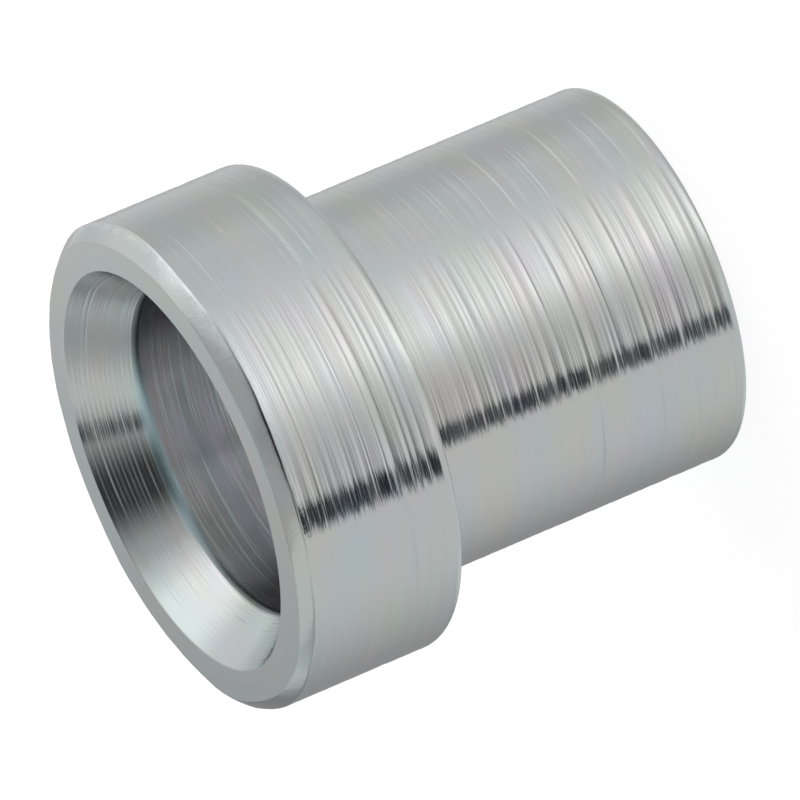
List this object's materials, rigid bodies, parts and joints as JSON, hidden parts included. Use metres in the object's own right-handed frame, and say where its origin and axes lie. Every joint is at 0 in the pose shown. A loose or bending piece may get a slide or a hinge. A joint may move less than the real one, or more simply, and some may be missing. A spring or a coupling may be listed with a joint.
{
  "type": "flare tube sleeve",
  "caption": "Short turned steel sleeve with a thick rounded head, a thinner tail, a through bore for a tube and a conical flare seat in the head's mouth.",
  "frame": {"origin": "centre of the tail's end face, on the surface that the sleeve stands on", "axes": "+Z along the bore, out of the flare mouth; X and Y are any two directions across the round part"},
  "size_m": [0.0096, 0.0096, 0.0102],
  "materials": {
    "zinc_plated_steel": "clear zinc plate over fine turning rings"
  },
  "bodies": {
    "root": {"sleeve": "zinc_plated_steel"}
  },
  "joints": []
}
